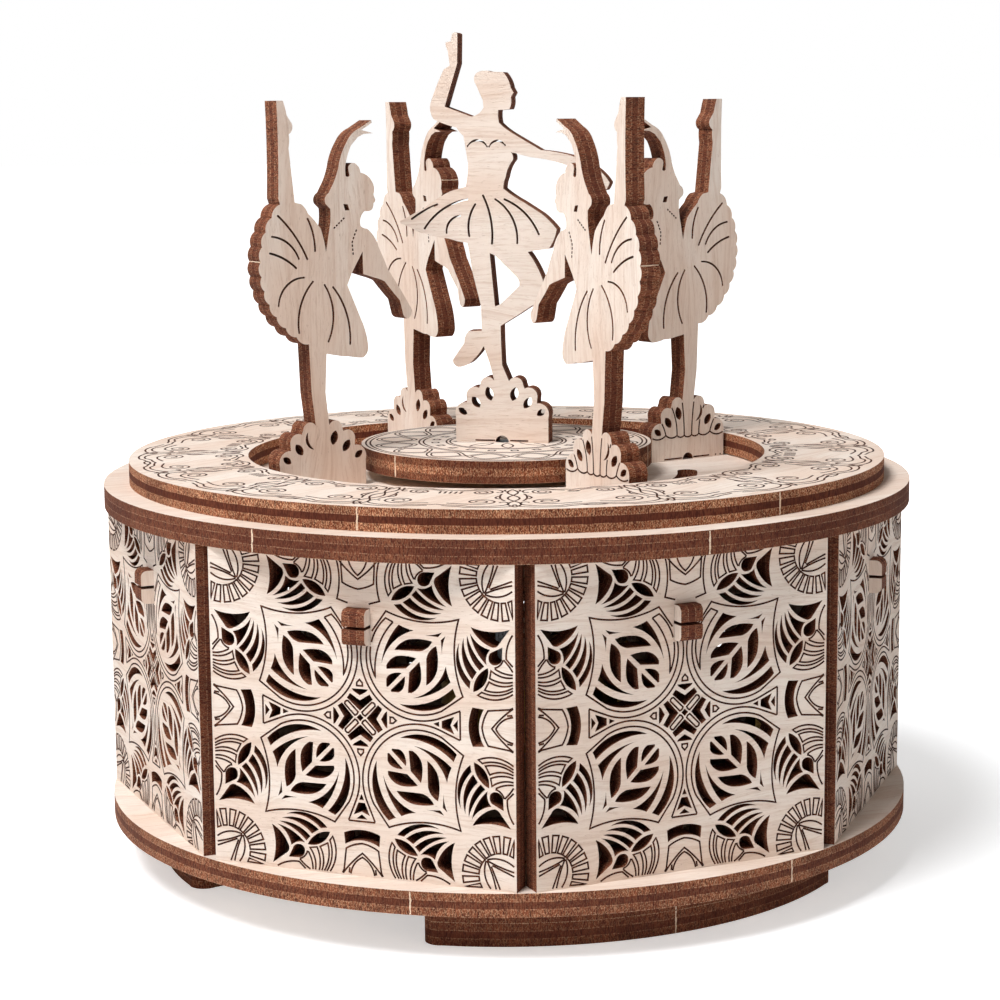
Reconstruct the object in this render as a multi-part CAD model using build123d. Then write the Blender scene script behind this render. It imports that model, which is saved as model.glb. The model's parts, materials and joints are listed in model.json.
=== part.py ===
from build123d import *
import os
from math import acos, cos, degrees, hypot, pi, radians, sin, sqrt, tan

# Wooden 3d jigsaw music box: an octagonal lattice drum of laser-cut plywood sheets,
# a turning platter with four dancers and a faster centre turntable with a fifth.
# Origin at the middle of the underside of the feet, +Z up, one lattice panel faces -Y.

# driving dimensions, mm
SHEET = 3.5                 # plywood thickness, every wooden piece
FIT = 0.05                  # play on each side of a tab in its slot
SIDES = 8                   # lattice panels round the drum
SIDE_STEP = 360 / SIDES     # angle from one panel to the next
FRONT = -90.0               # direction that the first panel faces
PLATE_R = 64.5              # base plate and top plate
APOTHEM = 60.0              # axis to the outer face of a panel
PANEL_W = 46.7
PANEL_H = 46.5
RING_R = 60.5               # engraved ring on the top plate
RING_HOLE_R = 41.6
PLATTER_R = 44.8
PLATTER_GAP = 0.4           # platter edge to the hole in the top plate
PLATTER_DROP = 0.2          # platter top below the underside of the ring
TURNTABLE_R = 23.4
TURNTABLE_LIFT = 1.6        # platter top to turntable underside

# levels, all from the sheet thickness
FOOT_H = 2 * SHEET
BASE_TOP = FOOT_H + SHEET
TOP_LOW = BASE_TOP + PANEL_H
TOP_HIGH = TOP_LOW + SHEET
PLATTER_TOP = TOP_HIGH - PLATTER_DROP
PLATTER_LOW = PLATTER_TOP - SHEET
TURNTABLE_LOW = PLATTER_TOP + TURNTABLE_LIFT
TURNTABLE_TOP = TURNTABLE_LOW + SHEET
RING_GEAR_LOW = PLATTER_LOW - SHEET
DECK_TOP = RING_GEAR_LOW - 0.8
DECK_LOW = DECK_TOP - SHEET
WHEEL_LOW = DECK_TOP + 0.5  # sun and planet wheels, on thin washers

# panel tabs and the ribs behind the panels
TAB_W = 5.4
TAB_AT = 4.5                # tab middle from the panel's middle
RIB_IN = 47.0
RIB_TAB_IN = 49.0
RIB_TAB_OUT = 54.0
DECK_R = 50.0
TONGUE_LOW = BASE_TOP + 33.9
TONGUE_H = 5.1
TONGUE_OUT = APOTHEM + 2.0
TONGUE_SLIT = 0.45
SLIT_END = 53.0

# gears: sun on the drive shaft, three planets on fixed posts, ring under the platter
MODULE = 1.6
SUN_TEETH = 12
PLANET_TEETH = 18
RING_TEETH = 48
PRESSURE = radians(20)
ADDENDUM = 0.8 * MODULE
DEDENDUM = 1.25 * MODULE
FLANK_PLAY = 0.1            # taken off each flank at the pitch line
RING_GEAR_R = 43.5
PLANETS = 3
PLANET_AT = MODULE * (SUN_TEETH + PLANET_TEETH) / 2
POST_R = 2.5
SHAFT_R = 2.0
RUNNING = 0.07              # radial play of a turning bore

# dancers
DANCER_AT = 32.65           # axis to the middle of a dancer's base
DANCER_FIRST = 2.2          # direction of the first dancer
DANCER_TURN = 8.4           # how far a dancer is turned off the radial line
CENTRE_TURN = -36.7         # direction that the centre dancer's arm points
FOOT_TABS = ((-5.6, -3.0), (3.0, 5.6))   # the two tabs under a dancer's base

# wind-up musical movement, on the base plate
BED_LOW = BASE_TOP + SHEET
BED_TOP = BED_LOW + 2.0
BARREL_R = 11.0
CYLINDER_AT = 19.0          # cylinder axis, along X from the drive shaft
CYLINDER_R = 6.5
CYLINDER_Z = BED_TOP + 8.0
COMB_TEETH = 18
GOVERNOR_AT = (31.0, -14.5)

os.makedirs("parts", exist_ok=True)


def save(node, shape):
    shape.label = node
    export_step(shape, "parts/" + node + ".step")


def outline(points, place=lambda x, y: (x, y)):
    """Closed wire through (x, y, bow): the edge that leaves a point bows to its right by bow."""
    edges = []
    for (x0, y0, bow), (x1, y1, _) in zip(points, points[1:] + points[:1]):
        start, end = place(x0, y0), place(x1, y1)
        if bow:
            run = hypot(x1 - x0, y1 - y0)
            middle = place((x0 + x1) / 2 + bow * (y1 - y0) / run, (y0 + y1) / 2 - bow * (x1 - x0) / run)
            edges.append(ThreePointArc(start, middle, end))
        else:
            edges.append(Line(start, end))
    return Wire(edges)


def straight(*points):
    return [(x, y, 0) for x, y in points]


def box_line(x0, x1, y0, y1):
    return straight((x0, y0), (x1, y0), (x1, y1), (x0, y1))


def circle_line(radius, at=(0, 0)):
    return Wire([CenterArc((at[0], at[1], 0), radius, 0, 360)])


def sheet(outer, holes, low, thick=SHEET):
    """A flat piece lying at height low."""
    return Pos(0, 0, low) * extrude(Face(outer, holes), amount=thick)


def turned(angle):
    """A place function that turns points about the axis."""
    c, s = cos(radians(angle)), sin(radians(angle))
    return lambda x, y: (x * c - y * s, x * s + y * c)


def upright(origin, facing):
    """Plane of a standing sheet: its x runs sideways, its y up, and it faces that direction."""
    a = radians(facing)
    return Plane(origin=origin, x_dir=(-sin(a), cos(a), 0), z_dir=(cos(a), sin(a), 0))


def rod(radius, low, high, at=(0, 0), bore=0.0):
    holes = [circle_line(bore, at)] if bore else []
    return sheet(circle_line(radius, at), holes, low, high - low)


# ---- lattice panels -------------------------------------------------------------------

# cut-outs of one eighth of the pattern, x and y from the panel's middle, y the larger,
# anticlockwise, so that a positive bow swells the hole
LEAF_CELLS = [
    [(11.1, 11.7, 0.2), (7.6, 11.8, 0.25), (5.4, 10.15, 0), (9.2, 10.2, 0.3)],
    [(8.7, 9.15, 0.1), (6.3, 9.4, 0.35), (4.15, 7.9, 0), (4.15, 7.35, 0), (7.1, 7.6, 0)],
    [(6.45, 6.9, 0.1), (5.0, 6.75, 0.15), (4.1, 5.9, 0), (4.1, 4.85, 0.05), (4.4, 4.8, 0)],
]
LEAF_RIM = [
    [(12.6, 13.1, -0.15), (9.95, 12.55, 0), (12.0, 12.4, 0)],
    [(8.35, 13.1, -0.1), (6.1, 13.8, 0.5), (3.4, 8.0, -0.95)],
]
OUTER_CRESCENT = [(5.25, 14.1, 0), (4.15, 14.6, 1.5), (2.45, 6.0, -0.95)]
FAN = [
    [(14.15, 16.85, -0.5), (14.15, 22.6, 0), (11.95, 20.95, 0.2), (11.5, 19.9, 0.4)],
    [(11.6, 21.5, 0), (10.1, 21.45, 0.32), (9.0, 20.35, 0.3), (9.9, 19.45, 0.15), (10.8, 19.9, 0)],
    [(8.55, 19.35, 0.8), (5.0, 17.15, 0.65)],
    [(13.3, 16.75, -0.45), (11.15, 19.7, -0.3), (8.95, 19.15, 0.42)],
    [(13.0, 16.3, -0.37), (8.75, 18.8, 0), (8.1, 18.1, 0.6)],
    [(12.6, 15.8, -0.57), (7.85, 17.7, 0), (6.75, 17.0, 0.8)],
    [(11.9, 15.15, -0.72), (6.45, 16.75, 0), (5.4, 16.6, 1.15)],
]
# cut-outs that straddle a middle line, drawn on the +y arm
STAR_ARM = [
    straight((1.25, 4.15), (-1.25, 4.15), (-1.0, 3.8), (0, 3.2), (1.0, 3.8)),
    straight((1.5, 3.45), (0, 2.5), (-1.5, 3.45), (-2.0, 2.75), (0, 1.0), (2.0, 2.75)),
]
STAR_HEART = straight((0.55, 0), (0, 0.55), (-0.55, 0), (0, -0.55))
SIDE_ARM = [
    straight((0.38, 12.0), (-0.38, 12.0), (0, 11.1)),
    straight((1.25, 14.25), (0, 13.7), (-1.25, 14.25), (-0.5, 12.4), (0.5, 12.4)),
    straight((0.85, 14.8), (-0.85, 14.8), (0, 14.1)),
    [(2.65, 18.7, -0.75), (-2.65, 18.7, 0), (-2.8, 17.0, 0.6), (2.8, 17.0, 0)],
]


def eighths():
    """The eight place functions of the pattern, each with whether it is above and whether upright."""
    for right in (1, -1):
        for up in (1, -1):
            yield (lambda x, y, r=right, u=up: (r * x, u * y)), up > 0, True
            yield (lambda x, y, r=right, u=up: (r * y, u * x)), up > 0, False


def panel_holes():
    holes = []
    for place, above, standing in eighths():
        shapes = LEAF_CELLS + LEAF_RIM + FAN
        if not (above and standing):    # the tongue slot takes the place of the top crescents
            shapes = shapes + [OUTER_CRESCENT]
        holes += [outline(shape, place) for shape in shapes]
    for arm in range(4):
        place = turned(90 * arm)
        shapes = STAR_ARM if arm == 0 else STAR_ARM + SIDE_ARM
        holes += [outline(shape, place) for shape in shapes]
    holes.append(outline(STAR_HEART))
    low = TONGUE_LOW - FIT - (BASE_TOP + PANEL_H / 2)
    half = SHEET / 2 + FIT
    holes.append(outline(box_line(-half, half, low, low + TONGUE_H + 2 * FIT)))
    return holes


def panel_line():
    """Panel outline with two tabs below and two above, anticlockwise."""
    w, h = PANEL_W / 2, PANEL_H / 2
    inner, outer = TAB_AT - TAB_W / 2, TAB_AT + TAB_W / 2
    below = [(-w, -h)]
    for a, b in ((-outer, -inner), (inner, outer)):
        below += [(a, -h), (a, -h - SHEET), (b, -h - SHEET), (b, -h)]
    below.append((w, -h))
    above = [(-x, -y) for x, y in below]
    return straight(*below, *above)


def rib_line():
    """Radial rib with a split tongue, x from the drum's axis, y from the ground."""
    wall = APOTHEM - SHEET - FIT
    top = TONGUE_LOW + TONGUE_H
    slit = TONGUE_LOW + (TONGUE_H - TONGUE_SLIT) / 2
    nose = 0.9
    return [
        *straight((RIB_IN, BASE_TOP), (RIB_TAB_IN, BASE_TOP), (RIB_TAB_IN, FOOT_H), (RIB_TAB_OUT, FOOT_H),
                  (RIB_TAB_OUT, BASE_TOP), (wall, BASE_TOP), (wall, TONGUE_LOW)),
        (TONGUE_OUT - nose, TONGUE_LOW, 0.25), (TONGUE_OUT, TONGUE_LOW + nose, 0),
        *straight((TONGUE_OUT, slit), (SLIT_END, slit), (SLIT_END, slit + TONGUE_SLIT),
                  (TONGUE_OUT, slit + TONGUE_SLIT)),
        (TONGUE_OUT, top - nose, 0.25), (TONGUE_OUT - nose, top, 0),
        *straight((wall, top), (wall, TOP_LOW), (RIB_TAB_OUT, TOP_LOW), (RIB_TAB_OUT, TOP_HIGH),
                  (RIB_TAB_IN, TOP_HIGH), (RIB_TAB_IN, TOP_LOW), (RIB_IN, TOP_LOW),
                  (RIB_IN, DECK_TOP + FIT), (DECK_R + FIT, DECK_TOP + FIT),
                  (DECK_R + FIT, DECK_LOW - FIT), (RIB_IN, DECK_LOW - FIT)),
    ]


def make_panels():
    body = extrude(Face(outline(panel_line()), panel_holes()), amount=-SHEET)
    rib = extrude(Face(outline(rib_line())), amount=SHEET / 2, both=True)
    for side in range(SIDES):
        facing = FRONT + SIDE_STEP * side
        place = turned(facing)
        wall = upright((*place(APOTHEM, 0), BASE_TOP + PANEL_H / 2), facing)
        save("lattice_panel_%d" % (side + 1), wall * body)
        save("rib_%d" % (side + 1), upright((0, 0, 0), facing - 90) * rib)


# ---- plates, ring and feet ------------------------------------------------------------

def plate_slots():
    """Slots for the tabs of the panels and ribs, the same in both plates."""
    slots = []
    half = SHEET / 2 + FIT
    for side in range(SIDES):
        place = turned(FRONT + SIDE_STEP * side)
        for middle in (-TAB_AT, TAB_AT):
            low, high = middle - TAB_W / 2 - FIT, middle + TAB_W / 2 + FIT
            slots.append(outline(box_line(APOTHEM - SHEET - FIT, APOTHEM + FIT, low, high), place))
        slots.append(outline(box_line(RIB_TAB_IN - FIT, RIB_TAB_OUT + FIT, -half, half), place))
    return slots


FEET = {"front": FRONT, "right": FRONT + 120, "left": FRONT + 240}
FOOT_OUT, FOOT_IN, FOOT_HALF = 56.7, 45.2, 37.5    # radii, and half the angle that a foot spans
FOOT_CORNER = 3.0
DOWEL_R = 1.5
DOWEL_TURN = 22.0                                   # dowels either side of a foot's middle


def foot_line(facing):
    """Arc-shaped foot with rounded ends, anticlockwise."""
    def at(radius, angle):
        return turned(facing + angle)(radius, 0)
    out_cut = degrees(FOOT_CORNER / FOOT_OUT)
    in_cut = degrees(FOOT_CORNER / FOOT_IN)
    r, s, a, c = FOOT_OUT, FOOT_IN, FOOT_HALF, FOOT_CORNER
    corner = c * (1 - sqrt(0.5)) * 0.6
    return Wire([
        ThreePointArc(at(r, -a + out_cut), at(r, 0), at(r, a - out_cut)),
        ThreePointArc(at(r, a - out_cut), at(r - corner, a - out_cut / 4), at(r - c, a)),
        Line(at(r - c, a), at(s + c, a)),
        ThreePointArc(at(s + c, a), at(s + corner, a - in_cut / 4), at(s, a - in_cut)),
        ThreePointArc(at(s, a - in_cut), at(s, 0), at(s, -a + in_cut)),
        ThreePointArc(at(s, -a + in_cut), at(s + corner, -a + in_cut / 4), at(s + c, -a)),
        Line(at(s + c, -a), at(r - c, -a)),
        ThreePointArc(at(r - c, -a), at(r - corner, -a + out_cut / 4), at(r, -a + out_cut)),
    ])


def dowel_spots(facing):
    middle = (FOOT_OUT + FOOT_IN) / 2
    return [turned(facing + turn)(middle, 0) for turn in (-DOWEL_TURN, DOWEL_TURN)]


def make_feet():
    dowels = []
    for name, facing in FEET.items():
        line = foot_line(facing)
        holes = [circle_line(DOWEL_R + FIT, at) for at in dowel_spots(facing)]
        save("foot_%s_lower" % name, sheet(line, holes, 0))
        save("foot_%s_upper" % name, sheet(line, holes, SHEET))
        dowels += [rod(DOWEL_R, 0.4, BASE_TOP - 0.3, at) for at in dowel_spots(facing)]
    save("foot_dowels", Compound(children=dowels))


def bed_corners():
    return [(x, y) for x in (-11.5, 36.5) for y in (-17.0, 17.0)]


def make_plates():
    screws = [circle_line(1.6, at) for at in bed_corners()]
    dowels = [circle_line(DOWEL_R + FIT, at) for f in FEET.values() for at in dowel_spots(f)]
    key_hole = circle_line(4.5)
    base = sheet(circle_line(PLATE_R), plate_slots() + screws + dowels + [key_hole], FOOT_H)
    save("base_plate", base)
    top_hole = circle_line(PLATTER_R + PLATTER_GAP)
    save("top_plate", sheet(circle_line(PLATE_R), plate_slots() + [top_hole], TOP_LOW))
    save("scroll_ring", sheet(circle_line(RING_R), [circle_line(RING_HOLE_R)], TOP_HIGH))


# ---- gear train under the platter -----------------------------------------------------

def involute_half(teeth, radius, play):
    """Half the angle that a tooth spans at a radius."""
    pitch = MODULE * teeth / 2
    base = pitch * cos(PRESSURE)
    slope = acos(min(1, base / max(base, radius)))
    start = tan(PRESSURE) - PRESSURE
    return pi / 2 / teeth - play / pitch + start - (tan(slope) - slope)


def gear_line(teeth, low, high, play):
    """Outline of a toothed wheel between its root and tip circles, a tooth pointing along +X."""
    def at(radius, angle):
        return (radius * cos(angle), radius * sin(angle))
    foot = max(low, MODULE * teeth / 2 * cos(PRESSURE))
    middle = (foot + high) / 2
    edges = []
    for tooth in range(teeth):
        a = 2 * pi * tooth / teeth
        h_foot, h_mid, h_tip = (involute_half(teeth, r, play) for r in (foot, middle, high))
        if foot > low:
            edges.append(Line(at(low, a - h_foot), at(foot, a - h_foot)))
        edges.append(ThreePointArc(at(foot, a - h_foot), at(middle, a - h_mid), at(high, a - h_tip)))
        edges.append(ThreePointArc(at(high, a - h_tip), at(high, a), at(high, a + h_tip)))
        edges.append(ThreePointArc(at(high, a + h_tip), at(middle, a + h_mid), at(foot, a + h_foot)))
        if foot > low:
            edges.append(Line(at(foot, a + h_foot), at(low, a + h_foot)))
        gap_end = a + 2 * pi / teeth - h_foot
        gap_middle = a + pi / teeth
        edges.append(ThreePointArc(at(low, a + h_foot), at(low, gap_middle), at(low, gap_end)))
    return Wire(edges)


def planet_spots():
    return [(90 + 360 * n / PLANETS, turned(90 + 360 * n / PLANETS)(PLANET_AT, 0)) for n in range(PLANETS)]


def make_gears():
    pitch = {n: MODULE * n / 2 for n in (SUN_TEETH, PLANET_TEETH, RING_TEETH)}
    r = pitch[SUN_TEETH]
    sun = gear_line(SUN_TEETH, r - DEDENDUM, r + ADDENDUM, FLANK_PLAY)
    save("sun_gear", sheet(sun, [circle_line(SHAFT_R)], WHEEL_LOW))

    r = pitch[PLANET_TEETH]
    line = gear_line(PLANET_TEETH, r - DEDENDUM, r + ADDENDUM, FLANK_PLAY)
    lightening = [circle_line(2.4, turned(60 * k)(7.6, 0)) for k in range(6)]
    wheel = sheet(line, [circle_line(POST_R + RUNNING)] + lightening, 0)
    posts, washers = [], []
    for number, (angle, (x, y)) in enumerate(planet_spots(), 1):
        half_tooth = 180 / PLANET_TEETH        # a gap of the planet faces the sun's tooth
        save("planet_gear_%d" % number, Pos(x, y, WHEEL_LOW) * Rot(0, 0, angle + half_tooth) * wheel)
        posts.append(rod(POST_R, DECK_LOW, WHEEL_LOW + SHEET, (x, y)))
        washers.append(rod(4.2, DECK_TOP, WHEEL_LOW - 0.08, (x, y), POST_R + FIT))
    save("planet_posts", Compound(children=posts))
    save("planet_washers", Compound(children=washers))

    # the ring gear's spaces have the outline of a wheel's teeth, so a half step puts a tooth on +X
    r = pitch[RING_TEETH]
    spaces = gear_line(RING_TEETH, r - ADDENDUM, r + DEDENDUM, -FLANK_PLAY)
    spaces = spaces.rotate(Axis.Z, 180 / RING_TEETH)
    save("ring_gear", sheet(circle_line(RING_GEAR_R), [spaces], RING_GEAR_LOW))

    bush = circle_line(SHAFT_R + 2.0 + FIT)
    posts = [circle_line(POST_R, at) for _, at in planet_spots()]
    windows = [outline([(28, -9, 1.2), (37, -9, 2.4), (37, 9, 1.2), (28, 9, -1.5)], turned(120 * k + 30))
               for k in range(3)]
    save("gear_deck", sheet(circle_line(DECK_R), [bush] + posts + windows, DECK_LOW))
    save("glide_ring", rod(RING_GEAR_R, DECK_TOP, RING_GEAR_LOW - 0.1, bore=RING_GEAR_R - 2.6))
    save("shaft_bush", rod(SHAFT_R + 2.0, DECK_LOW - 1.0, DECK_TOP, bore=SHAFT_R + RUNNING))
    save("drive_shaft", rod(SHAFT_R, BED_TOP + 10.6, TURNTABLE_TOP))


# ---- platter, turntable and dancers ---------------------------------------------------

def tab_holes(plane_turn, at=(0, 0)):
    """Slots for the two tabs of one dancer, whose sheet runs along plane_turn."""
    half = SHEET / 2 + FIT

    def place(x, y):
        dx, dy = turned(plane_turn)(x, y)
        return (at[0] + dx, at[1] + dy)
    return [outline(box_line(a - FIT, b + FIT, -half, half), place) for a, b in FOOT_TABS]


def dancer_spots():
    """Direction of each dancer's sheet and the middle of its base."""
    for k in range(4):
        angle = DANCER_FIRST + 90 * k
        yield angle + DANCER_TURN, turned(angle)(DANCER_AT, 0)


def make_discs():
    window_r, window_w, window_half = 29.3, 3.2, 9.0
    windows = []
    for k in range(4):
        place = turned(DANCER_FIRST - 36 + 90 * k)
        c, s = cos(radians(window_half)), sin(radians(window_half))
        inner, outer = window_r - window_w / 2, window_r + window_w / 2
        rise_in, rise_out = inner * (1 - c), outer * (1 - c)
        end = window_w / 2
        windows.append(outline([(inner * c, -inner * s, end), (outer * c, -outer * s, rise_out),
                                (outer * c, outer * s, end), (inner * c, inner * s, -rise_in)], place))
    slots = [hole for turn, at in dancer_spots() for hole in tab_holes(turn, at)]
    bush = circle_line(SHAFT_R + 1.8)
    save("platter", sheet(circle_line(PLATTER_R), [bush] + slots + windows, PLATTER_LOW))
    collar = rod(6.0, PLATTER_TOP, TURNTABLE_LOW - 0.3, bore=SHAFT_R + RUNNING)
    save("platter_bush", rod(SHAFT_R + 1.8, PLATTER_LOW, PLATTER_TOP, bore=SHAFT_R + RUNNING) + collar)
    save("turntable", sheet(circle_line(TURNTABLE_R), [circle_line(SHAFT_R)] + tab_holes(CENTRE_TURN),
                            TURNTABLE_LOW))


def base_fan(middle, half):
    """Right-hand and left-hand halves of a dancer's base up to the leg, each from the outside in."""
    right = [(half, 3.9, 0), (half + 0.05, 4.3, 0.75), (5.75, 6.4, 0), (5.8, 7.2, 0.85),
             (3.75, 8.75, 0), (3.5, 9.4, 0.9), (1.2, 9.9, 0)]
    left = [(-x, y) for x, y, _ in right]
    bows = [bow for _, _, bow in right]
    left = [(x, y, bows[n - 1] if n else 0) for n, (x, y) in enumerate(left)]
    return [(x + middle, y, b) for x, y, b in right], [(x + middle, y, b) for x, y, b in left[::-1]]


def foot_line_points(middle, half):
    """Underside of a dancer from left to right, with two tabs and a half-round notch."""
    points = [(middle - half, 0, 0)]
    (a, b), (c, d) = FOOT_TABS
    points += straight((a, 0), (a, -SHEET), (b, -SHEET), (b, 0))
    points += [(middle - 1.1, 0, -1.1), (middle + 1.1, 0, 0)]
    points += straight((c, 0), (c, -SHEET), (d, -SHEET), (d, 0))
    points.append((middle + half, 0, 0))
    return points


# oval holes of a dancer's base fan: middle, half length, bow of each side, lean from upright
PETALS = [(6.45, 4.95, 0.85, 0.5, 55), (4.25, 6.45, 1.05, 0.62, 35), (2.05, 7.85, 1.15, 0.66, 15)]
MOON = [(1.6, 6.3, 0.95), (2.6, 9.1, -0.45)]


def petal_holes(middle, moon_side):
    """Oval holes of the base fan, with a crescent moon in place of the inner one on that side."""
    holes = []
    for side in (1, -1):
        def mirrored(x, y, side=side):
            return (middle + side * x, y)
        ovals = PETALS
        if side == moon_side:
            ovals = PETALS[:-1]
            holes.append(outline(MOON, mirrored))
        for x, y, half, bow, lean in ovals:
            def leaning(u, v, x=x, y=y, lean=lean, mirrored=mirrored):
                du, dv = turned(-lean)(u, v)
                return mirrored(x + du, y + dv)
            holes.append(outline([(0, -half, bow), (0, half, bow)], leaning))
    return holes


def slit(start, through, end, width=0.34):
    """A thin curved slit between two ends, through a third point."""
    (x0, y0), (xm, ym), (x1, y1) = start, through, end
    run = hypot(x1 - x0, y1 - y0)
    nx, ny = (y1 - y0) / run, -(x1 - x0) / run
    bow = (xm - (x0 + x1) / 2) * nx + (ym - (y0 + y1) / 2) * ny
    h = width / 2
    a, b = (x0 - nx * h, y0 - ny * h), (x0 + nx * h, y0 + ny * h)
    c, d = (x1 + nx * h, y1 + ny * h), (x1 - nx * h, y1 - ny * h)
    return outline([(*a, h), (*b, bow), (*c, h), (*d, -bow)])


# side dancer: back leg raised on the +x side, facing -x, seen on its engraved face
SIDE_MIDDLE, SIDE_HALF = 0.35, 7.75
SKIRT_HUB = (0.0, 34.4)
SIDE_LEG_AND_LEFT = [                       # from the raised leg round the head to the front of the skirt
    (7.35, 45.0, -0.15), (7.35, 59.6, 0), (6.2, 59.6, 0.05), (5.6, 57.4, 0), (4.75, 56.2, 0.35),
    (5.3, 54.6, 0.1), (5.4, 52.5, 0), (4.5, 44.3, 0), (3.4, 44.1, 0.15), (2.2, 42.6, 0.1), (0.0, 40.2, 0.1),
    (-0.85, 36.6, 0), (-1.6, 40.4, -0.1), (-1.75, 43.2, 0), (-0.9, 44.0, 0.35), (-1.5, 45.6, 0),
    (-2.5, 47.3, -0.1), (-3.5, 50.2, 0.15), (-4.9, 53.3, 0.3), (-7.3, 55.4, 0), (-9.4, 56.6, 0),
    (-9.5, 56.2, 0), (-7.6, 55.1, 0), (-9.7, 54.6, 0), (-8.0, 54.5, 0), (-6.9, 54.0, 0), (-5.7, 52.8, -0.1),
    (-4.7, 50.2, -0.1), (-4.6, 48.2, -0.2), (-5.3, 48.2, 0), (-5.1, 49.2, 0.1), (-5.4, 49.9, 0.3),
    (-6.8, 49.7, 0.15), (-7.3, 48.6, 0.3), (-9.4, 47.2, 0.25), (-9.6, 45.2, 0), (-9.95, 44.4, 0.1),
    (-9.6, 43.9, 0.1), (-9.3, 42.9, 0.15), (-8.0, 42.7, -0.1), (-7.3, 41.9, -0.15), (-7.2, 40.4, -0.1),
    (-8.3, 40.0, 0.35), (-10.4, 37.0, 0.05), (-12.0, 33.6, 0), (-14.6, 29.9, 0), (-16.4, 27.0, 0.2),
    (-15.7, 25.6, 0.15), (-14.8, 26.3, 0), (-14.2, 28.6, 0.05), (-11.4, 31.7, -0.05), (-9.4, 32.4, 0),
    (-7.5, 33.0, 0), (-7.45, 36.5, 0), (-5.4, 33.2, 0), (-4.6, 31.4, 0.0), (-6.9, 26.2, 0.25),
    (-8.2, 21.6, 0.3), (-7.2, 20.0, 0.1), (-4.8, 20.4, 0.1), (-2.8, 20.6, 0), (-0.6, 21.0, 0),
]
SIDE_SLITS = [
    ((7.5, 42.4), (5.3, 40.2), (2.5, 35.7)), ((2.3, 41.8), (1.4, 39.5), (1.1, 36.9)),
    ((8.6, 39.3), (6.6, 38.8), (4.0, 35.8)), ((9.0, 36.8), (6.8, 36.0), (4.5, 34.4)),
    ((3.2, 32.9), (5.9, 32.1), (7.7, 28.8)), ((1.6, 32.2), (3.7, 29.0), (4.2, 24.5)),
    ((-0.5, 31.6), (-1.9, 28.0), (-1.0, 22.9)), ((-2.0, 31.2), (-4.2, 27.5), (-4.9, 22.3)),
]
COLLAR_HOLE = straight((-4.1, 43.9), (-4.9, 43.8), (-5.2, 42.9), (-4.4, 42.9))

# centre dancer: one arm raised on the -x side, the other stretched out on the +x side
LEAD_MIDDLE, LEAD_HALF = -0.3, 7.6
LEAD_FROM_LEG = [                           # up the right of the leg, round the head, down the left
    (-0.2, 12.5, 0), (-0.35, 16.0, 0), (-0.4, 18.8, 0), (2.2, 20.4, 0), (5.4, 22.5, 0.4), (6.5, 26.2, 0.2),
    (4.1, 30.6, 0), (5.2, 30.8, 0), (7.5, 31.1, 0.2), (8.8, 34.2, 0.1), (6.4, 36.6, 0), (3.4, 38.5, -0.1),
    (0.2, 40.6, -0.1), (0.6, 42.4, -0.2), (1.8, 45.1, 0.15), (1.5, 46.3, 0), (4.6, 45.5, -0.1),
    (8.6, 44.8, 0), (12.6, 43.6, 0), (15.2, 41.6, 0), (15.0, 40.7, 0.05), (16.0, 41.4, 0),
    (16.7, 40.3, 0.05), (17.3, 41.5, 0.15), (15.3, 43.7, 0.1), (11.0, 45.8, 0.1), (6.3, 46.6, 0),
    (2.0, 49.1, -0.1), (-0.4, 50.9, -0.1), (-0.5, 52.9, 0), (1.3, 53.0, 0.15), (1.55, 54.9, 0),
    (1.95, 55.6, 0), (1.5, 56.4, 0.2), (0.3, 58.8, 0), (-1.9, 58.9, 0.3), (-4.1, 58.6, 0.3),
    (-4.1, 56.9, 0), (-3.0, 54.4, 0), (-2.9, 53.3, -0.3), (-4.9, 51.9, 0), (-9.2, 53.5, 0),
    (-7.1, 60.2, 0), (-7.0, 64.8, 0.25), (-7.9, 64.8, 0), (-8.1, 63.7, 0), (-8.95, 63.5, 0.1),
    (-8.6, 62.2, 0), (-8.3, 59.9, 0), (-9.3, 59.3, 0.1), (-11.5, 54.1, 0.3), (-11.0, 51.5, 0.1),
    (-7.3, 50.2, 0.1), (-6.2, 48.9, 0), (-5.5, 44.6, -0.1), (-5.9, 40.9, 0), (-8.4, 40.2, 0.15),
    (-12.6, 37.6, 0), (-16.7, 35.5, 0.1), (-16.6, 35.1, 0), (-14.6, 34.2, 0.15), (-12.0, 33.3, 0.1),
    (-8.8, 32.7, 0.1), (-5.7, 32.0, 0), (-4.9, 27.2, 0), (-3.6, 22.0, 0), (-3.5, 18.0, 0),
    (-5.7, 17.9, 0.2), (-6.4, 16.0, 0), (-8.3, 13.3, 0.3), (-7.4, 12.1, 0.3), (-4.9, 13.3, 0.1),
    (-3.2, 15.5, 0), (-2.3, 12.9, 0),
]
LEAD_GAP = [(-2.1, 30.4, 0), (-1.3, 21.9, 0), (-0.5, 22.2, 0), (2.7, 25.2, 0.2), (2.2, 26.7, 0), (-1.2, 30.0, 0)]
LEAD_SLITS = [
    ((-14.8, 35.8), (-12.6, 37.2), (-10.6, 38.1)), ((-12.7, 34.3), (-9.6, 37.4), (-5.7, 38.9)),
    ((-9.1, 33.6), (-8.5, 35.5), (-6.9, 36.3)), ((-5.4, 33.1), (-5.35, 36.0), (-4.4, 38.1)),
    ((-1.7, 31.9), (-1.9, 36.0), (-3.1, 39.5)), ((2.4, 32.0), (1.4, 36.4), (-1.1, 38.9)),
    ((5.9, 33.4), (3.8, 36.6), (0.4, 38.9)), ((-5.5, 47.3), (-4.0, 48.2), (-2.4, 47.2)),
    ((-2.0, 47.2), (-0.8, 48.1), (0.5, 47.4)),
]


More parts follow.
